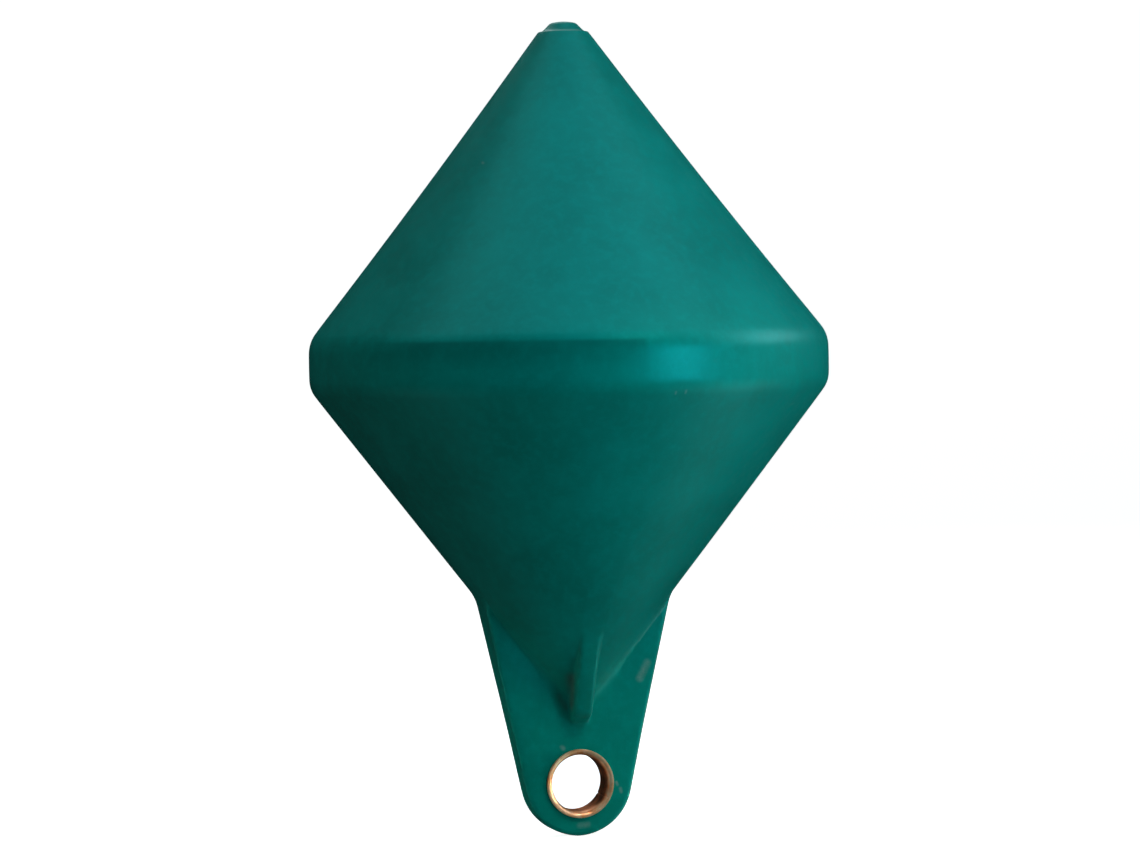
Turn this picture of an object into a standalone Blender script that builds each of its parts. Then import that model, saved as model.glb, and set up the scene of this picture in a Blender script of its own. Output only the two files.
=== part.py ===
# Biconical buoy: a moulded float with its mooring lug, and the copper bush in the lug's eye.
# Metres and degrees. The origin is the centre of the eye, +Z is the float's axis towards the
# tip, and the two faces of the lug look along -Y and +Y.
import math

import bmesh
import bpy
import numpy as np
from mathutils import Matrix

# Float: two cones joined by a belly band
BELLY_DIAMETER = 0.400
BELLY_HEIGHT = 0.3245  # middle of the band above the eye
BAND_HEIGHT = 0.0361  # between the edges that the two cones would make unrounded
CONE_ANGLE = 37.5  # between each cone's side and the axis
UPPER_CONE_HOLLOW = 0.0014  # how far the upper cone's side sinks in half way up
UPPER_EDGE_RADIUS = 0.028
LOWER_EDGE_RADIUS = 0.023

# Tip: a small ledge with a button dome on it
LEDGE_DIAMETER = 0.0385
LEDGE_EDGE_RADIUS = 0.0020
DOME_DIAMETER = 0.0324
DOME_HEIGHT = 0.0078
DOME_SIDE_ANGLE = 43.0  # between the dome's side and the axis
DOME_SHOULDER_RADIUS = 0.0060
DOME_CROWN_RADIUS = 0.0400

# Lug: a flat plate with a round end, tapering outwards to its root in the lower cone
LUG_END_RADIUS = 0.0426
LUG_END_OFFSET = 0.0018  # centre of the round end above the eye
LUG_TAPER = 12.2
LUG_THICKNESS = 0.022
LUG_FLAT_HEIGHT = 0.042  # the plate is of even thickness up to here
LUG_THICKENING = 3.3  # draft of each face above that
LUG_EDGE_RADIUS = 0.0035
ROOT_FILLET = 0.0025

# Gusset rib on each face of the lug
RIB_END_WIDTH = 0.0150
RIB_DRAFT = 0.5  # each side opens by this much towards the root
RIB_END_HEIGHT = 0.0530  # outer corner of the blunt end above the eye
RIB_END_DEPTH = 0.0260  # the same corner from the lug's middle plane
RIB_SLOPE = 24.0  # between the rib's outer edge and the axis
RIB_END_SLOPE = 25.0  # between the blunt end and a level plane
RIB_EDGE_RADIUS = 0.0030
RIB_FOOT_FILLET = 0.0020

# Copper bush: a tube through the eye with a lip rolled over each face of the lug
BUSH_BORE_DIAMETER = 0.0436
BUSH_WALL = 0.0020
LIP_DIAMETER = 0.0530
LIP_HEIGHT = 0.0022
LIP_EDGE_RADIUS = 0.0011
MOUTH_DEPTH = 0.0070  # the bore flares from here to the lip's crest
SEAT_CLEARANCE = 0.0003  # between the bush and the moulding all round

# Facets
QUARTER_STEPS = (2, 2, 3, 6, 5, 3, 3)
EYE_SEGMENTS = 72

TAN_CONE = math.tan(math.radians(CONE_ANGLE))
COS_CONE = math.cos(math.radians(CONE_ANGLE))
SIN_TAPER = math.sin(math.radians(LUG_TAPER))
COS_TAPER = math.cos(math.radians(LUG_TAPER))
BELLY_RADIUS = BELLY_DIAMETER / 2
LOWER_EDGE = BELLY_HEIGHT - BAND_HEIGHT / 2
UPPER_EDGE = BELLY_HEIGHT + BAND_HEIGHT / 2
LOWER_APEX = LOWER_EDGE - BELLY_RADIUS / TAN_CONE
UPPER_APEX = UPPER_EDGE + BELLY_RADIUS / TAN_CONE
LEDGE_HEIGHT = UPPER_APEX - LEDGE_DIAMETER / 2 / TAN_CONE


# Shapes of the lower end, as signed distances that are negative inside
def cone_distance(x, y, z):
    return (np.hypot(x, y) - (z - LOWER_APEX) * TAN_CONE) * COS_CONE


def rounded_corner(first, second, radius):
    """The solid inside both, with the corner between them rounded."""
    a = first + radius
    b = second + radius
    outside = np.hypot(np.maximum(a, 0), np.maximum(b, 0))
    return np.minimum(np.maximum(a, b), 0) + outside - radius


def filleted_joint(first, second, radius):
    """The solid inside either, with the crease between them filled to a radius."""
    a = np.maximum(radius - first, 0)
    b = np.maximum(radius - second, 0)
    return np.maximum(radius, np.minimum(first, second)) - np.hypot(a, b)


def lug_half_thickness(z):
    draft = math.tan(math.radians(LUG_THICKENING))
    return LUG_THICKNESS / 2 + np.maximum(z - LUG_FLAT_HEIGHT, 0) * draft


def lug_half_width(z):
    above = z - LUG_END_OFFSET
    straight = (LUG_END_RADIUS + above * SIN_TAPER) / COS_TAPER
    curved = np.sqrt(np.maximum(LUG_END_RADIUS**2 - above**2, 0))
    return np.where(above > -LUG_END_RADIUS * SIN_TAPER, straight, curved)


def lug_distance(x, y, z):
    across = np.abs(x)
    above = z - LUG_END_OFFSET
    side = across * COS_TAPER - above * SIN_TAPER - LUG_END_RADIUS
    end = np.hypot(across, above) - LUG_END_RADIUS
    outline = np.where(across * SIN_TAPER + above * COS_TAPER > 0, side, end)
    return rounded_corner(outline, np.abs(y) - lug_half_thickness(z), LUG_EDGE_RADIUS)


def rib_half_width(z):
    draft = math.tan(math.radians(RIB_DRAFT))
    return RIB_END_WIDTH / 2 + (z - RIB_END_HEIGHT) * draft


def rib_depth(z):
    return RIB_END_DEPTH + (z - RIB_END_HEIGHT) * math.tan(math.radians(RIB_SLOPE))


def rib_distance(x, y, z):
    slope = math.radians(RIB_SLOPE)
    end_slope = math.radians(RIB_END_SLOPE)
    out = np.abs(y) - RIB_END_DEPTH
    up = z - RIB_END_HEIGHT
    edge = out * math.cos(slope) - up * math.sin(slope)
    end = out * math.sin(end_slope) - up * math.cos(end_slope)
    spine = rounded_corner(edge, end, RIB_EDGE_RADIUS)
    return rounded_corner(np.abs(x) - rib_half_width(z), spine, RIB_EDGE_RADIUS)


def lower_end_distance(x, y, z):
    root = filleted_joint(cone_distance(x, y, z), lug_distance(x, y, z), ROOT_FILLET)
    return filleted_joint(root, rib_distance(x, y, z), RIB_FOOT_FILLET)


# Sections of the float, each a closed ring of points with the same count
def quarter_directions(z):
    """Angles from the front centre to the side, gathered where the section bends."""
    circle = max((z - LOWER_APEX) * TAN_CONE, 0)
    width = float(lug_half_width(z))
    face = float(lug_half_thickness(z))
    ribbed = z > RIB_END_HEIGHT - RIB_END_DEPTH * math.tan(math.radians(RIB_END_SLOPE))
    front = max(circle, face, float(rib_depth(z)) if ribbed else 0)
    rib = min(float(rib_half_width(z)), width / 5)
    flank = min(rib + RIB_FOOT_FILLET, width / 4)
    crease = math.sqrt(max(circle**2 - face**2, 0))
    crease = min(max(crease, flank + (width - flank) / 3), width - LUG_EDGE_RADIUS * 2)
    crease = max(crease, width / 2)
    corner = max(width - LUG_EDGE_RADIUS, width * 0.8)
    marks = [
        0,
        math.atan2(max(rib - RIB_EDGE_RADIUS, rib / 2), front),
        math.atan2(rib, front - min(RIB_EDGE_RADIUS, (front - face) / 2)),
        math.atan2(flank, max(math.sqrt(max(circle**2 - flank**2, 0)), face)),
        math.atan2(crease, face),
        math.atan2(corner, face),
        math.atan2(width, face - min(LUG_EDGE_RADIUS, face / 2)),
        math.pi / 2,
    ]
    angles = []
    for start, end, steps in zip(marks, marks[1:], QUARTER_STEPS):
        angles.extend(start + (end - start) * step / steps for step in range(steps))
    return np.array(angles + [math.pi / 2])


def full_ring(across, out, z):
    """The quarter from the front centre to the side, repeated on the other three sides."""
    back = across[:0:-1], -out[:0:-1]
    quarters = [(across[:-1], out[:-1]), back]
    quarters += [(-x, -y) for x, y in quarters]
    return [(x, y, z) for xs, ys in quarters for x, y in zip(xs, ys)]


def lofted_ring(z, evenness):
    """The lower end's section at a height, its points spread evenly as evenness nears 1."""
    bent = quarter_directions(z)
    even = np.linspace(0, math.pi / 2, len(bent))
    angle = bent + (even - bent) * evenness
    across, out = np.sin(angle), -np.cos(angle)
    near = np.zeros(len(angle))
    far = np.full(len(angle), BELLY_DIAMETER)
    for _ in range(50):
        middle = (near + far) / 2
        inside = lower_end_distance(across * middle, out * middle, z) < 0
        near = np.where(inside, middle, near)
        far = np.where(inside, far, middle)
    return full_ring(across * near, out * near, z)


def turned_ring(radius, z):
    angle = np.linspace(0, math.pi / 2, sum(QUARTER_STEPS) + 1)
    return full_ring(radius * np.sin(angle), -radius * np.cos(angle), z)


def arc(centre, radius, start, end, steps):
    """Points of an arc in the plane of radius and height, from one angle to another."""
    angles = np.radians(np.linspace(start, end, steps + 1))
    return [(centre[0] + radius * math.cos(a), centre[1] + radius * math.sin(a)) for a in angles]


def tip_profile():
    """Dome with its crown, shoulder and straight side, and the ledge, from the top down."""
    top = LEDGE_HEIGHT + DOME_HEIGHT
    shoulder = DOME_SHOULDER_RADIUS
    crown = DOME_CROWN_RADIUS
    side = math.radians(DOME_SIDE_ANGLE)
    reach = DOME_DIAMETER / 2 * math.cos(side) - shoulder - (DOME_HEIGHT - crown) * math.sin(side)
    meeting = math.asin(reach / (crown - shoulder)) - side
    centre = (
        (crown - shoulder) * math.sin(meeting),
        top - crown + (crown - shoulder) * math.cos(meeting),
    )
    points = arc((0, top - crown), crown, 88, 90 - math.degrees(meeting), 2)
    points += arc(centre, shoulder, 90 - math.degrees(meeting), DOME_SIDE_ANGLE, 5)[1:]
    points.append((DOME_DIAMETER / 2, LEDGE_HEIGHT))
    edge = LEDGE_EDGE_RADIUS
    reach = edge * math.tan(math.radians(90 - CONE_ANGLE) / 2)
    centre = (LEDGE_DIAMETER / 2 - reach, LEDGE_HEIGHT - edge)
    return points + arc(centre, edge, 90, CONE_ANGLE, 2)


def belly_profile():
    """The band with its two rounded edges, from the upper cone to the lower cone."""
    half_turn = math.radians(CONE_ANGLE) / 2
    upper = UPPER_EDGE - UPPER_EDGE_RADIUS * math.tan(half_turn)
    lower = LOWER_EDGE + LOWER_EDGE_RADIUS * math.tan(half_turn)
    points = arc((BELLY_RADIUS - UPPER_EDGE_RADIUS, upper), UPPER_EDGE_RADIUS, CONE_ANGLE, 0, 5)
    return points + arc(
        (BELLY_RADIUS - LOWER_EDGE_RADIUS, lower), LOWER_EDGE_RADIUS, 0, -CONE_ANGLE, 4
    )


def upper_cone_profile(top, bottom, steps):
    """Points between two ends of the upper cone's side, which sinks in a little half way."""
    points = []
    for step in range(1, steps):
        share = step / steps
        hollow = UPPER_CONE_HOLLOW * 4 * share * (1 - share)
        radius = top[0] + (bottom[0] - top[0]) * share - hollow * COS_CONE
        points.append((radius, top[1] + (bottom[1] - top[1]) * share - hollow * TAN_CONE * COS_CONE))
    return points


def lofted_heights(top):
    """Heights of the lower end's sections, close together where the form bends."""
    root = (LUG_END_RADIUS - LUG_END_OFFSET * SIN_TAPER) / COS_TAPER
    root = (root + LOWER_APEX * TAN_CONE) / (TAN_CONE - SIN_TAPER / COS_TAPER)
    reach = LUG_EDGE_RADIUS + ROOT_FILLET * 4
    rib_top = RIB_END_HEIGHT + RIB_EDGE_RADIUS * 2
    rib_foot = RIB_END_HEIGHT - RIB_END_DEPTH * math.tan(math.radians(RIB_END_SLOPE)) / 2
    rib_foot -= RIB_FOOT_FILLET
    stops = [
        (top, 1),
        (root + reach, 4),
        (root - reach, 8),
        (rib_top, 8),
        (rib_foot, 8),
        (min(LUG_FLAT_HEIGHT, rib_foot - RIB_FOOT_FILLET), 1),
        (LUG_END_OFFSET - LUG_END_RADIUS * SIN_TAPER, 3),
    ]
    heights = []
    for (high, _), (low, steps) in zip(stops, stops[1:]):
        heights.extend(high + (low - high) * step / steps for step in range(1, steps + 1))
    swept = np.radians(np.linspace(LUG_TAPER, 87, 11))[1:]
    heights.extend(LUG_END_OFFSET - LUG_END_RADIUS * np.sin(swept))
    return heights, root + reach


def loft(rings):
    """Skin a stack of rings from the top down and close both ends."""
    mesh = bmesh.new()
    rows = [[mesh.verts.new(point) for point in ring] for ring in rings]
    for upper, lower in zip(rows, rows[1:]):
        for i in range(len(upper)):
            j = (i + 1) % len(upper)
            mesh.faces.new((upper[i], lower[i], lower[j], upper[j]))
    mesh.faces.new(rows[0])
    mesh.faces.new(rows[-1])
    bmesh.ops.recalc_face_normals(mesh, faces=mesh.faces)
    return mesh


def material(name, colour, roughness, metallic):
    made = bpy.data.materials.new(name)
    made.use_nodes = True
    shader = made.node_tree.nodes["Principled BSDF"]
    shader.inputs["Base Color"].default_value = (*colour, 1)
    shader.inputs["Roughness"].default_value = roughness
    shader.inputs["Metallic"].default_value = metallic
    return made


def add_object(name, mesh, surface=None):
    data = bpy.data.meshes.new(name)
    mesh.to_mesh(data)
    mesh.free()
    made = bpy.data.objects.new(name, data)
    bpy.context.scene.collection.objects.link(made)
    if surface:
        data.materials.append(surface)
        data.shade_smooth()
        data.set_sharp_from_angle(angle=math.radians(35))
    return made


def make_float():
    tip = tip_profile()
    belly = belly_profile()
    profile = tip + upper_cone_profile(tip[-1], belly[0], 8) + belly
    rings = [turned_ring(radius, z) for radius, z in profile]
    top = profile[-1][1]
    heights, gathered = lofted_heights(top)
    for z in heights:
        evenness = min(max((z - gathered) / (top - gathered), 0), 1)
        rings.append(lofted_ring(z, evenness))
    colour = material("green_polyethylene", (0.001, 0.19, 0.18), 0.45, 0)
    body = add_object("float_body", loft(rings), colour)
    cutter_mesh = bmesh.new()
    bmesh.ops.create_cone(
        cutter_mesh,
        cap_ends=True,
        segments=EYE_SEGMENTS,
        radius1=BUSH_BORE_DIAMETER / 2 + BUSH_WALL + SEAT_CLEARANCE,
        radius2=BUSH_BORE_DIAMETER / 2 + BUSH_WALL + SEAT_CLEARANCE,
        depth=LUG_THICKNESS * 2,
        matrix=Matrix.Rotation(math.radians(90), 4, "X"),
    )
    cutter = add_object("eye_seat_cutter", cutter_mesh)
    cutter.hide_render = True
    cutter.display_type = "WIRE"
    cut = body.modifiers.new("eye seat", "BOOLEAN")
    cut.operation = "DIFFERENCE"
    cut.object = cutter
    return body


def bush_profile():
    """Half of the bush's wall section as radius and distance from the middle, bore first."""
    bore = BUSH_BORE_DIAMETER / 2
    outside = bore + BUSH_WALL
    seat = LUG_THICKNESS / 2 + SEAT_CLEARANCE
    crest = seat + LIP_HEIGHT
    roll = LIP_EDGE_RADIUS
    flare = LIP_DIAMETER / 2 - roll - bore
    points = []
    for across, up in arc((1, 0), 1, 180, 90, 6):
        points.append((bore + flare * across, crest - MOUTH_DEPTH * (1 - up)))
    points += arc((LIP_DIAMETER / 2 - roll, crest - roll), roll, 90, 0, 3)[1:]
    return points + [(LIP_DIAMETER / 2, seat), (outside, seat)]


def make_bush():
    half = bush_profile()
    section = half + [(radius, -out) for radius, out in reversed(half)]
    mesh = bmesh.new()
    loop = [mesh.verts.new((radius, out, 0)) for radius, out in section]
    edges = [mesh.edges.new((a, b)) for a, b in zip(loop, loop[1:] + loop[:1])]
    bmesh.ops.spin(
        mesh,
        geom=loop + edges,
        cent=(0, 0, 0),
        axis=(0, 1, 0),
        angle=math.radians(360),
        steps=EYE_SEGMENTS,
        use_merge=True,
    )
    bmesh.ops.recalc_face_normals(mesh, faces=mesh.faces)
    return add_object("eye_bush", mesh, material("copper", (0.62, 0.32, 0.19), 0.4, 1))


for old in list(bpy.data.objects):
    bpy.data.objects.remove(old)
make_float()
make_bush()
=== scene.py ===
import math

import bmesh
import bpy
from mathutils import Matrix, Vector


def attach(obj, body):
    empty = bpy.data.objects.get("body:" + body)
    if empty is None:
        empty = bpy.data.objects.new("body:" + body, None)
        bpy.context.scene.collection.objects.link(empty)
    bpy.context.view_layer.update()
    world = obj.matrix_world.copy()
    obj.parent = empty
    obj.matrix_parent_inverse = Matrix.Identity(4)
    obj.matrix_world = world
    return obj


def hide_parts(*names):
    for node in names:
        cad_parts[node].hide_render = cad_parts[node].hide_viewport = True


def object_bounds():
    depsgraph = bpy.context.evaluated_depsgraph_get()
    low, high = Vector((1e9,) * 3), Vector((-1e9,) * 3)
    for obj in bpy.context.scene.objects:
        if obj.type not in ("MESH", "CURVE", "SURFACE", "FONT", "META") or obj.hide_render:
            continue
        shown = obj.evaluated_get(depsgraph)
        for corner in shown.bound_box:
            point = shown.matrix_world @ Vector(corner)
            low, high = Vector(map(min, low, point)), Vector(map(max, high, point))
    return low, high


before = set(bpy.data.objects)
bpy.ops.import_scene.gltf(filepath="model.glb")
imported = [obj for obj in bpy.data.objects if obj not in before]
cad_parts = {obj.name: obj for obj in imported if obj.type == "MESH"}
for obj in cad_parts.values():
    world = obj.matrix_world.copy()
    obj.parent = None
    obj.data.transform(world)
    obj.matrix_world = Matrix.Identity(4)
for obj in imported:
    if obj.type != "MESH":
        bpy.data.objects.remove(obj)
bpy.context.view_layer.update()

print("frame loaded:", sorted(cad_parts))

mm = 0.001  # in metres


# small helpers
def hexColour(code):  # an sRGB hex code as linear red, green, blue and alpha
    parts = [int(code[i:i + 2], 16) / 255 for i in (1, 3, 5)]
    return tuple(c / 12.92 if c <= 0.04045 else ((c + 0.055) / 1.055) ** 2.4 for c in parts) + (1.0,)


def directionAt(azimuth, elevation):  # in degrees, 0 is straight in front of the float
    a, e = math.radians(azimuth), math.radians(elevation)
    return Vector((math.sin(a) * math.cos(e), -math.cos(a) * math.cos(e), math.sin(e)))


def startClean():  # nothing selected, object mode
    if bpy.context.object and bpy.context.object.mode != "OBJECT":
        bpy.ops.object.mode_set(mode="OBJECT")
    bpy.ops.object.select_all(action="DESELECT")


def makeActive(piece):
    startClean()
    piece.select_set(True)
    bpy.context.view_layer.objects.active = piece


def selectWhere(piece, kind, test):  # in edit mode, picks the vertices, edges or faces that pass a test
    mesh = bmesh.from_edit_mesh(piece.data)
    bpy.context.tool_settings.mesh_select_mode = (kind == "verts", kind == "edges", kind == "faces")
    for item in list(mesh.verts) + list(mesh.edges) + list(mesh.faces):
        item.select = False
    for item in getattr(mesh, kind):
        if test(item):
            item.select_set(True)
    bmesh.update_edit_mesh(piece.data)


def applyModifier(piece, name, kind, **settings):
    modifier = piece.modifiers.new(name, kind)
    for key, value in settings.items():
        setattr(modifier, key, value)
    makeActive(piece)
    bpy.ops.object.modifier_apply(modifier=modifier.name)


def newMaterial(name):
    material = bpy.data.materials.new(name)
    material.use_nodes = True
    material.node_tree.nodes.clear()
    return material, material.node_tree


def addNode(tree, kind, settings=None, links=None):  # both go by attribute or socket name, or by number
    node = tree.nodes.new(kind)
    for name, value in (settings or {}).items():
        if isinstance(name, str) and hasattr(node, name):
            setattr(node, name, value)
        else:
            node.inputs[name].default_value = value
    for name, source in (links or {}).items():
        tree.links.new(source, node.inputs[name])
    return node


def addNoise(tree, place, sizeMm, detail, roughness):
    settings = {"Scale": 1 / (sizeMm * mm), "Detail": detail, "Roughness": roughness}
    return addNode(tree, "ShaderNodeTexNoise", settings, {"Vector": place}).outputs["Fac"]


def addRange(tree, source, fromMin, fromMax, toMin=0.0, toMax=1.0, kind="LINEAR"):
    settings = {"interpolation_type": kind, "From Min": fromMin, "From Max": fromMax, "To Min": toMin, "To Max": toMax}
    return addNode(tree, "ShaderNodeMapRange", settings, {"Value": source}).outputs["Result"]


def addMix(tree, share, first, second):  # each colour is a hex code or what another node gives
    settings, links = {"data_type": "RGBA"}, {0: share}
    for number, colour in ((6, first), (7, second)):
        if isinstance(colour, str):
            settings[number] = hexColour(colour)
        else:
            links[number] = colour
    return addNode(tree, "ShaderNodeMix", settings, links).outputs[2]


def addBumps(tree, bumps):  # height, strength and depth in millimetres of each, one on top of another
    normal = None
    for height, strength, depthMm in bumps:
        links = {"Height": height}
        if normal is not None:
            links["Normal"] = normal
        normal = addNode(tree, "ShaderNodeBump", {"Strength": strength, "Distance": depthMm * mm}, links).outputs["Normal"]
    return normal


def addSurface(tree, settings, links):
    shader = addNode(tree, "ShaderNodeBsdfPrincipled", settings, links)
    addNode(tree, "ShaderNodeOutputMaterial", links={"Surface": shader.outputs["BSDF"]})


def maskStroke(tree, place, start, end, width, strength=1.0):  # falls from strength on the line to 0 at width, in millimetres
    run = [(b - a) * mm for a, b in zip(start, end)]
    square = sum(r * r for r in run)
    shifted = addNode(tree, "ShaderNodeVectorMath", {"operation": "SUBTRACT", 1: [a * mm for a in start]}, {0: place}).outputs["Vector"]
    along = addNode(tree, "ShaderNodeVectorMath", {"operation": "DOT_PRODUCT", 1: [r / square for r in run]}, {0: shifted})
    share = addNode(tree, "ShaderNodeClamp", links={"Value": along.outputs["Value"]})
    foot = addNode(tree, "ShaderNodeVectorMath", {"operation": "SCALE", 0: run}, {"Scale": share.outputs[0]})
    away = addNode(tree, "ShaderNodeVectorMath", {"operation": "DISTANCE"}, {0: shifted, 1: foot.outputs["Vector"]})
    return addRange(tree, away.outputs["Value"], 0.0, width * mm, strength, 0.0, "SMOOTHSTEP")


def joinMasks(tree, operation, masks):  # several masks as one, never over 1
    total = masks[0]
    for mask in masks[1:]:
        total = addNode(tree, "ShaderNodeMath", {"operation": operation, "use_clamp": True}, {0: total, 1: mask}).outputs[0]
    return total


# rotomoulded polyethylene: through-coloured, off a blasted steel mould, so satin and softly mottled, with pale scuffs,
# a painted highlight along the crease where the cone runs into the lug, and painted shade under the band's upper edge
polyethylene = {
    "body": "#008378",  # the colour over most of the float
    "deep": "#00766B",  # where the powder melted thicker
    "pale": "#009286",  # where it melted thinner
    "rubAndHighlight": "#8FA9A0",  # rubbed and dusty places, and the painted crease highlight
    # dark brown for the strokes in the crease left of the rib
    "creaseBrown": "#3E2C28",
    "edgeShade": "#004038",  # painted shade under the band's upper edge
    "sheen": "#00F4F0",  # the tint of its satin highlights
    "roughness": 0.38,
    "ior": 1.52,
    "mottleMm": 55,
    "grainMm": 7,
    "peelMm": 2.6,  # orange peel of the mould, a little coarser than real so that it shows
    "breakUpMm": 3,  # what breaks up the scuffs and the painted crease highlight
    "scratchMm": 60,
    "scratches": 0.07,  # how much the thin scratches show
}
rubsAndCreaseHighlight = [  # start and end of each stroke, its half width in millimetres and its strength: pale rubs, and last a painted highlight along the crease
    ((-79.8, -54.0, 477.0), (-77.8, -56.0, 474.4), 1.8, 0.6),
    ((27.6, -194.7, 303.6), (27.6, -194.5, 301.6), 1.5, 0.45),
    ((35.5, -193.8, 304.4), (35.5, -193.5, 302.0), 1.6, 0.55),
    ((137.0, -127.6, 290.6), (140.0, -125.2, 291.4), 1.6, 0.6),
    ((54.5, -13.9, 91.0), (48.8, -13.1, 79.5), 5.0, 0.5),
    ((-13.8, -11.0, 28.6), (-12.4, -11.0, 27.2), 2.8, 0.5),
    ((29.2, -11.0, -0.5), (30.0, -11.0, -2.5), 1.9, 0.55),
    ((32.3, -11.0, -5.5), (32.9, -11.0, -8.0), 2.2, 0.55),
    ((-1.0, -11.0, -32.5), (6.0, -11.0, -32.0), 3.6, 0.42),
    ((69.0, -16.4, 134.7), (48.0, -15.2, 109.1), 1.6, 0.35),  # painted highlight along the ridge where the cone runs out into the lug, this stroke and the next
    ((48.0, -15.2, 109.1), (34.4, -19.9, 97.6), 1.6, 0.28),
]
creaseBrown = [  # dark brown strokes in the crease left of the rib, given the same way
    ((-16.0, -14.0, 68.0), (-10.4, -12.0, 58.7), 4.0, 0.3),
    ((-9.0, -27.0, 84.0), (-8.2, -19.0, 62.0), 8.0, 0.55),
]
shadeUnderBandEdge = {  # painted shade under the band's upper edge, in millimetres
    "top": 344.0,
    "sharp": 3.0,  # fades out upwards over this
    "depth": 20.0,  # and downwards over this
    "from": -190.0,
    "fadeIn": 50.0,
    "to": 7.5,
    "fadeOut": 4.0,
    "patch": 32,
    "strength": 0.5,
}


# painted shade on the front of the band just under its upper edge, fading downwards
def makeShadeUnderBandEdgeMask(tree, place):
    axes = addNode(tree, "ShaderNodeSeparateXYZ", links={"Vector": place})
    across, depth, height = (axes.outputs[name] for name in "XYZ")
    edgeShade = {name: value * mm for name, value in shadeUnderBandEdge.items()}
    full = edgeShade["top"] - edgeShade["sharp"]
    inFront = addNode(tree, "ShaderNodeMath", {"operation": "LESS_THAN", 1: 0.0}, {0: depth}).outputs[0]
    return joinMasks(tree, "MULTIPLY", [
        addRange(tree, height, full - edgeShade["depth"], full, toMax=shadeUnderBandEdge["strength"]),
        addRange(tree, height, full, edgeShade["top"], 1.0, 0.0, "SMOOTHSTEP"),
        addRange(tree, across, edgeShade["from"], edgeShade["from"] + edgeShade["fadeIn"]),
        addRange(tree, across, edgeShade["to"] - edgeShade["fadeOut"], edgeShade["to"], 1.0, 0.0),
        inFront,
        addRange(tree, addNoise(tree, place, shadeUnderBandEdge["patch"], 3.0, 0.6), 0.35, 0.6, toMin=0.55),
    ])


def makePolyethylene():
    material, tree = newMaterial("rotomouldedPolyethylene")
    place = addNode(tree, "ShaderNodeTexCoord").outputs["Object"]
    mottle = addNoise(tree, place, polyethylene["mottleMm"], 3.0, 0.55)
    grain = addNoise(tree, place, polyethylene["grainMm"], 4.0, 0.6)
    peel = addNoise(tree, place, polyethylene["peelMm"], 2.0, 0.5)
    mottled = addMix(tree, addRange(tree, mottle, 0.35, 0.68), polyethylene["deep"], polyethylene["body"])
    clouded = addMix(tree, addRange(tree, grain, 0.45, 0.8, toMax=0.5), mottled, polyethylene["pale"])
    # the placed rubs and the painted crease highlight, broken up by a fine noise, and faint handling scratches, long
    # and thin, all over
    rubbed = joinMasks(tree, "ADD", [maskStroke(tree, place, *rubAndHighlight) for rubAndHighlight in rubsAndCreaseHighlight])
    breakUp = addRange(tree, addNoise(tree, place, polyethylene["breakUpMm"], 6.0, 0.65), 0.3, 0.7, 0.25, 0.8)
    broken = joinMasks(tree, "MULTIPLY", [rubbed, breakUp])
    stretched = addNode(tree, "ShaderNodeMapping", {"Rotation": (0.4, 0.7, 0.2), "Scale": (1.0, 9.0, 6.0)}, {"Vector": place})
    scratch = addNoise(tree, stretched.outputs["Vector"], polyethylene["scratchMm"], 8.0, 0.75)
    wornAndHighlit = joinMasks(tree, "MAXIMUM", [broken, addRange(tree, scratch, 0.66, 0.78, toMax=polyethylene["scratches"])])
    creaseBrownShare = joinMasks(tree, "ADD", [maskStroke(tree, place, *stroke) for stroke in creaseBrown])
    # painted shade under the band's upper edge, dark brown in the crease, and wear with the painted crease highlight
    # lie on the mottled colour, in that order
    edgeShaded = addMix(tree, makeShadeUnderBandEdgeMask(tree, place), clouded, polyethylene["edgeShade"])
    creaseBrowned = addMix(tree, creaseBrownShare, edgeShaded, polyethylene["creaseBrown"])
    colour = addMix(tree, wornAndHighlit, creaseBrowned, polyethylene["rubAndHighlight"])
    rough = addRange(tree, grain, 0.3, 0.7, polyethylene["roughness"] - 0.05, polyethylene["roughness"] + 0.06)
    rougher = addNode(tree, "ShaderNodeMath", {"operation": "MULTIPLY_ADD", 1: 0.3}, {0: wornAndHighlit, 2: rough}).outputs[0]
    normal = addBumps(tree, [(mottle, 0.35, 1.2), (peel, 0.12, 0.3), (wornAndHighlit, 0.3, 0.2)])
    addSurface(tree, {"IOR": polyethylene["ior"], "Specular Tint": hexColour(polyethylene["sheen"])},
               {"Base Color": colour, "Roughness": rougher, "Normal": normal})
    return material


# drawn copper tube, flared by hammer: bright rubbed lips, brown tarnish down the bore
copper = {
    "bright": "#FFDDB8",
    "body": "#F29E68",
    "tarnish": "#AC6844",
    "paleCream": "#FFEBD6",
    "roughness": 0.40,
    "cloudMm": 9,
    "pitMm": 1.6,
    "lipFromMm": 8.0,  # distance from the middle where the rubbed lip begins
    "lipFullMm": 12.2,
    "seamStroke": ((22.0, -7.5, -11.0), (25.6, -13.0, -14.4), 1.5),  # a pale cream stroke over the front lip where the tube's seam comes out: start, end, half width
}


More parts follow.
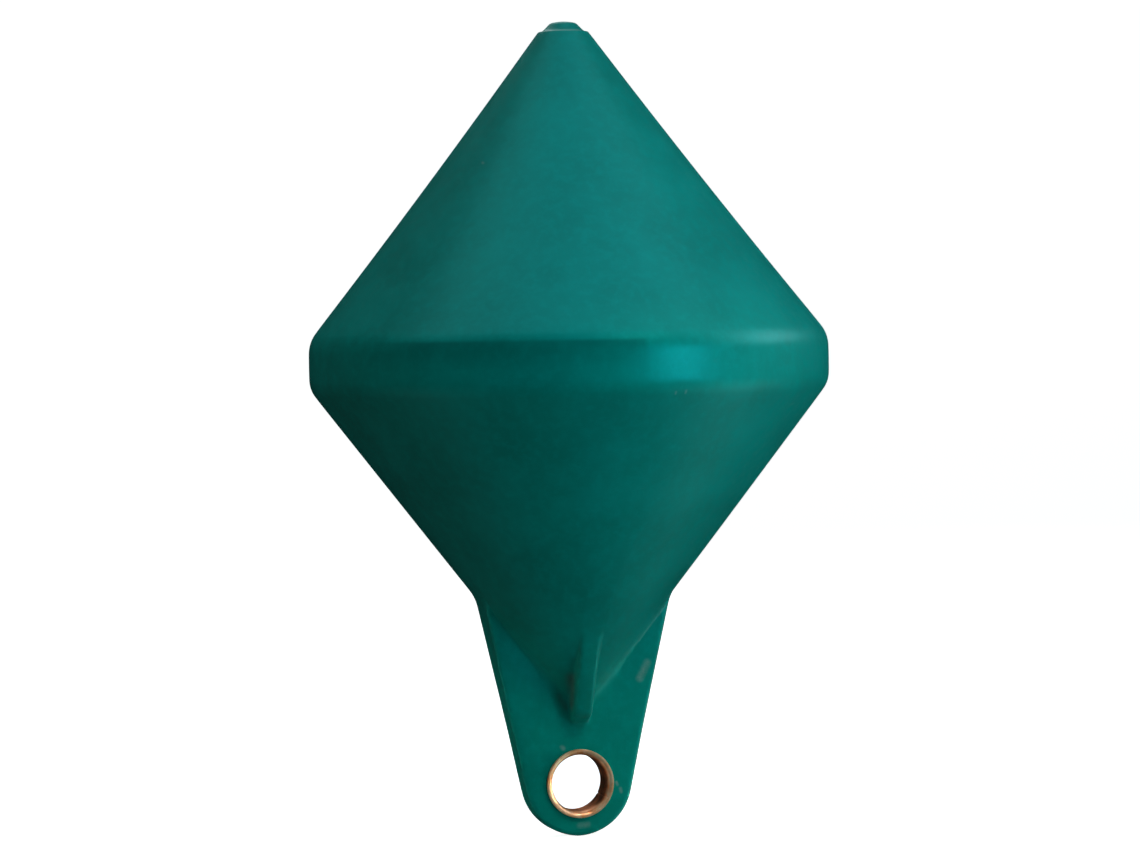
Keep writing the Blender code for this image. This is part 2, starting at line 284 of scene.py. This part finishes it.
def makeCopper():
    material, tree = newMaterial("wornCopper")
    place = addNode(tree, "ShaderNodeTexCoord").outputs["Object"]
    axes = addNode(tree, "ShaderNodeSeparateXYZ", links={"Vector": place})
    fromMiddle = addNode(tree, "ShaderNodeMath", {"operation": "ABSOLUTE"}, {0: axes.outputs["Y"]}).outputs[0]
    lip = addRange(tree, fromMiddle, copper["lipFromMm"] * mm, copper["lipFullMm"] * mm, kind="SMOOTHSTEP")
    clouds = addRange(tree, addNoise(tree, place, copper["cloudMm"], 5.0, 0.6), 0.35, 0.66)
    pits = addNoise(tree, place, copper["pitMm"], 4.0, 0.65)
    bore = addMix(tree, clouds, copper["tarnish"], copper["body"])
    rubbed = addMix(tree, clouds, copper["body"], copper["bright"])
    aged = addMix(tree, lip, bore, rubbed)
    colour = addMix(tree, maskStroke(tree, place, *copper["seamStroke"]), aged, copper["paleCream"])
    rough = addRange(tree, pits, 0.3, 0.7, copper["roughness"] - 0.06, copper["roughness"] + 0.12)
    addSurface(tree, {"Metallic": 1.0}, {"Base Color": colour, "Roughness": rough, "Normal": addBumps(tree, [(pits, 0.25, 0.2)])})
    return material


polyethyleneSkin = makePolyethylene()
copperSkin = makeCopper()
print("materials made")


# float: the CAD moulding, merged, squared up and rounded over
floatForm = {
    "mergeMm": 0.02,
    "squareAngle": 60,  # degrees, up to where two triangles become one face
    "squareSkew": 70,
    "rimAngle": 50,  # edges sharper than this stay sharp
    "roundings": 2,
}


def makeFloat():
    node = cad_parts["float_body"]
    piece = bpy.data.objects.new("floatMoulding", node.data.copy())
    bpy.context.scene.collection.objects.link(piece)
    piece.data.materials.clear()
    piece.data.materials.append(polyethyleneSkin)
    rim = math.radians(floatForm["rimAngle"])
    makeActive(piece)
    bpy.ops.object.mode_set(mode="EDIT")
    bpy.ops.mesh.select_all(action="SELECT")
    bpy.ops.mesh.remove_doubles(threshold=floatForm["mergeMm"] * mm)
    bpy.ops.mesh.normals_make_consistent(inside=False)
    bpy.ops.mesh.customdata_custom_splitnormals_clear()
    bpy.ops.mesh.tris_convert_to_quads(face_threshold=math.radians(floatForm["squareAngle"]),
                                       shape_threshold=math.radians(floatForm["squareSkew"]))
    selectWhere(piece, "edges", lambda e: len(e.link_faces) == 2 and e.calc_face_angle(0) > rim)
    bpy.ops.transform.edge_crease(value=1.0)
    bpy.ops.object.mode_set(mode="OBJECT")
    applyModifier(piece, "rounding", "SUBSURF", levels=floatForm["roundings"], render_levels=floatForm["roundings"])
    makeActive(piece)
    bpy.ops.object.shade_smooth_by_angle(angle=rim)
    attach(piece, "root")
    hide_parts("float_body")
    return piece


floatMoulding = makeFloat()
print("float made:", len(floatMoulding.data.polygons), "faces")


# copper bush: a tube flared like a trumpet at both ends, with a lip turned over each face of the lug
bush = {
    "boreMm": 21.8,  # radii from the eye's centre
    "seatMm": 23.8,
    "mouthMm": 25.4,
    "lipMm": 26.5,
    "seatHalfMm": 11.3,  # half-lengths along the eye's axis
    "halfLengthMm": 13.5,
    "flareDepthMm": 5.0,
    "flareSteps": (0.0, 0.3, 0.52, 0.7, 0.84, 0.94),
    "seamAngle": -27,  # where the rolled tube's joint lies, from +X
    "seamEdgeMm": 0.25,
    "seamDepthMm": 0.5,
    "edgeMm": 0.7,  # how far the rims are rounded
    "edgeAngle": 40,
    "segments": 96,
}


def makeBush():
    size = {name[:-2]: value * mm for name, value in bush.items() if name.endswith("Mm")}  # in metres
    half, mouth, lip = size["halfLength"], size["mouth"], size["lip"]
    inside = mouth + 0.2 * mm  # the bore's points lie within this radius
    outside = mouth + 0.5 * mm  # and the outer wall's beyond this one
    edgeAngle = math.radians(bush["edgeAngle"])
    startClean()
    bpy.ops.mesh.primitive_cylinder_add(vertices=bush["segments"], radius=lip, depth=2 * half, rotation=(math.radians(90), 0, 0))
    piece = bpy.context.object
    piece.name = "copperBush"
    bpy.ops.object.transform_apply(location=True, rotation=True, scale=True)
    bpy.ops.object.mode_set(mode="EDIT")
    selectWhere(piece, "faces", lambda f: abs(f.normal.y) > 0.9)
    bpy.ops.mesh.inset(thickness=lip - mouth, use_individual=True)
    bpy.ops.mesh.bridge_edge_loops()

    def radius(v):
        return math.hypot(v.co.x, v.co.z)

    def onBore(f):
        return all(radius(v) < inside for v in f.verts)

    def onSeam(f):
        middle = f.calc_center_median()
        return onBore(f) and Vector((middle.x, 0, middle.z)).angle(outward) < 1.01 * math.pi / bush["segments"]

    # the flare: the bore is cut into rings, and each ring resized
    stations = [half - size["flareDepth"] * (1 - t) for t in bush["flareSteps"]]
    for at in stations:
        for side in (-1, 1):
            selectWhere(piece, "faces", onBore)
            bpy.ops.mesh.bisect(plane_co=(0, side * at, 0), plane_no=(0, 1, 0))
    for t, at in zip(bush["flareSteps"], stations):
        share = (size["bore"] + (mouth - size["bore"]) * (1 - math.sqrt(1 - t * t))) / mouth
        for side in (-1, 1):
            selectWhere(piece, "verts", lambda v: abs(v.co.y - side * at) < 0.01 * mm and radius(v) < inside)
            bpy.ops.transform.resize(value=(share, 1, share), center_override=(0, 0, 0))
    # the seat: the outer wall between the two lips is drawn in
    for side in (-1, 1):
        selectWhere(piece, "faces", lambda f: all(radius(v) > outside for v in f.verts) and abs(f.normal.y) < 0.1)
        bpy.ops.mesh.bisect(plane_co=(0, side * size["seatHalf"], 0), plane_no=(0, 1, 0))
    selectWhere(piece, "faces", lambda f: all(radius(v) > outside and abs(v.co.y) < size["seatHalf"] + 0.1 * mm for v in f.verts))
    bpy.ops.mesh.extrude_region_move()
    bpy.ops.transform.resize(value=(size["seat"] / lip, 1, size["seat"] / lip), center_override=(0, 0, 0))
    # the joint of the rolled tube: one column of the bore sunk a little
    seam = math.radians(bush["seamAngle"])
    outward = Vector((math.cos(seam), 0, math.sin(seam)))
    selectWhere(piece, "faces", onSeam)
    bpy.ops.mesh.inset(thickness=size["seamEdge"])
    bpy.ops.transform.translate(value=outward * size["seamDepth"])
    bpy.ops.mesh.select_all(action="SELECT")
    bpy.ops.mesh.normals_make_consistent(inside=False)
    bpy.ops.object.mode_set(mode="OBJECT")
    applyModifier(piece, "rolledEdges", "BEVEL", width=size["edge"], segments=3, limit_method="ANGLE", angle_limit=edgeAngle)
    makeActive(piece)
    bpy.ops.object.shade_smooth_by_angle(angle=edgeAngle)
    piece.data.materials.clear()
    piece.data.materials.append(copperSkin)
    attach(piece, "root")
    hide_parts("eye_bush")
    return piece


copperBush = makeBush()
print("bush made:", len(copperBush.data.polygons), "faces")


# studio: a pale sweep of floor and backdrop, in metres
studio = {
    "width": 16.0,
    "front": -6.0,
    "back": 5.5,
    "height": 6.0,
    "bend": 1.5,
    "floorGap": 0.0005,
    "paper": "#F6F6F4",
    "glow": 0.9,  # keeps the paper white behind the float, as in the photograph
    "room": "#DEFFFF",
    "roomGlow": 0.155,
    "roomFront": -15,  # the side where the room is palest, in degrees
}


def makeStudio():
    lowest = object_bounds()[0][2]
    startClean()
    bpy.ops.mesh.primitive_plane_add(size=1, location=(0, 0, 0))
    sweep = bpy.context.object
    sweep.name = "studioSweep"
    bpy.ops.object.mode_set(mode="EDIT")
    bpy.ops.mesh.select_all(action="SELECT")
    bpy.ops.transform.resize(value=(studio["width"], studio["back"] - studio["front"], 1))
    bpy.ops.transform.translate(value=(0, (studio["back"] + studio["front"]) / 2, lowest - studio["floorGap"]))
    selectWhere(sweep, "edges", lambda e: all(v.co.y > studio["back"] - 0.01 for v in e.verts))
    bpy.ops.mesh.extrude_region_move(TRANSFORM_OT_translate={"value": (0, 0, studio["height"])})
    selectWhere(sweep, "edges", lambda e: all(abs(v.co.y - studio["back"]) < 0.01 and v.co.z < lowest + 0.01 for v in e.verts))
    bpy.ops.mesh.bevel(offset=studio["bend"], segments=16, affect="EDGES")
    bpy.ops.object.mode_set(mode="OBJECT")
    bpy.ops.object.shade_smooth()
    material, tree = newMaterial("paleSeamlessPaper")
    addSurface(tree, {"Base Color": hexColour(studio["paper"]), "Roughness": 0.9, "Specular IOR Level": 0.1,
                      "Emission Color": (1, 1, 1, 1), "Emission Strength": studio["glow"]}, {})
    sweep.data.materials.append(material)
    sweep.visible_diffuse = False  # the photograph's float gets no light back from the ground
    sweep.visible_glossy = False
    sweep.visible_shadow = False  # lets the bounce light through from below


def makeRoom():
    world = bpy.data.worlds.new("paleStudioAir")
    world.use_nodes = True
    tree = world.node_tree
    skyPlace = addNode(tree, "ShaderNodeTexCoord").outputs["Generated"]
    facing = addNode(tree, "ShaderNodeVectorMath", {"operation": "DOT_PRODUCT", 1: directionAt(studio["roomFront"], 0)}, {0: skyPlace})
    background = tree.nodes["Background"]
    background.inputs["Color"].default_value = hexColour(studio["room"])
    glow = addRange(tree, facing.outputs["Value"], -1.0, 1.0, toMax=studio["roomGlow"])
    tree.links.new(glow, background.inputs["Strength"])  # paler in front
    bpy.context.scene.world = world
    bpy.context.scene.view_settings.view_transform = "Standard"


# lights, each turned to a point at aimHeight on the float's axis: degrees, metres and watts
lights = {
    "key": {"azimuth": 86, "elevation": 19, "distance": 1.6, "aimHeight": 0.42,
            "size": (1.6, 0.6), "spread": 50, "power": 1.2, "colour": "#D8F4FF"},
    "window": {"azimuth": 34, "elevation": 1, "distance": 1.6, "aimHeight": 0.36,
               "size": (0.4, 0.45), "spread": 20, "power": 0.27, "colour": "#BCEAFF"},
    "overhead": {"azimuth": 0, "elevation": 72, "distance": 3.0, "aimHeight": 0.27,
                 "size": (2.4, 2.4), "spread": 180, "power": 23, "colour": "#E0F2FF"},
    "overRight": {"azimuth": 62, "elevation": 50, "distance": 3.0, "aimHeight": 0.27,
                  "size": (1.8, 1.8), "spread": 180, "power": 11, "colour": "#E0F2FF"},
    "overLeft": {"azimuth": -85, "elevation": 55, "distance": 3.0, "aimHeight": 0.27,
                 "size": (1.8, 1.8), "spread": 180, "power": 13, "colour": "#CCF2F6"},
    "bounce": {"azimuth": 66, "elevation": -35, "distance": 1.8, "aimHeight": 0.40,
               "size": (1.2, 1.2), "spread": 90, "power": 2.15, "colour": "#D4F4EC"},
    "bounceLeft": {"azimuth": -80, "elevation": -40, "distance": 1.8, "aimHeight": 0.40,
                   "size": (1.2, 1.2), "spread": 90, "power": 0.45, "colour": "#FFF9F0"},
    "eyeRight": {"azimuth": 85, "elevation": 4, "distance": 1.5, "aimHeight": -0.005,
                 "size": (0.15, 0.15), "spread": 5, "power": 0.05, "colour": "#FFE6CC"},
    "eyeTop": {"azimuth": 20, "elevation": 48, "distance": 1.0, "aimHeight": 0.0,
               "size": (0.2, 0.2), "spread": 12, "power": 0.036, "colour": "#FFF0DE"},
    "lugLeft": {"azimuth": -95, "elevation": -5, "distance": 1.5, "aimHeight": 0.03,
                "size": (0.15, 0.15), "spread": 8, "power": 0.018, "colour": "#FFE6CC"},
    "rear": {"azimuth": 175, "elevation": 48, "distance": 3.0, "aimHeight": 0.27,
             "size": (1.6, 1.6), "spread": 180, "power": 16, "colour": "#FFFFFF"},
}


def makeLights():
    for name, light in lights.items():
        away = directionAt(light["azimuth"], light["elevation"])
        data = bpy.data.lights.new(name + "Light", "AREA")
        data.shape = "RECTANGLE"
        data.size, data.size_y = light["size"]
        data.spread = math.radians(light["spread"])
        data.energy = light["power"]
        data.color = hexColour(light["colour"])[:3]
        lamp = bpy.data.objects.new(name + "Light", data)
        lamp.location = Vector((0, 0, light["aimHeight"])) + away * light["distance"]
        lamp.rotation_euler = (-away).to_track_quat("-Z", "Y").to_euler()
        bpy.context.scene.collection.objects.link(lamp)


makeStudio()
makeLights()
makeRoom()
print("studio made")


# camera at the photograph's viewing angle
camera = {"azimuth": -15.0, "elevation": 1.6, "distance": 3.0, "roll": 1.003, "lens": 122.93, "sensor": 36, "aimHeight": 0.27387}


def makeCamera():
    data = bpy.data.cameras.new("photoCamera")
    data.sensor_width = camera["sensor"]
    data.lens = camera["lens"]
    data.clip_end = 50
    eye = bpy.data.objects.new("photoCamera", data)
    away = directionAt(camera["azimuth"], camera["elevation"])
    place = Vector((0, 0, camera["aimHeight"])) + away * camera["distance"]
    turn = (-away).to_track_quat("-Z", "Y").to_matrix().to_4x4()
    eye.matrix_world = Matrix.Translation(place) @ turn @ Matrix.Rotation(math.radians(-camera["roll"]), 4, "Z")
    bpy.context.scene.collection.objects.link(eye)
    bpy.context.scene.camera = eye


makeCamera()
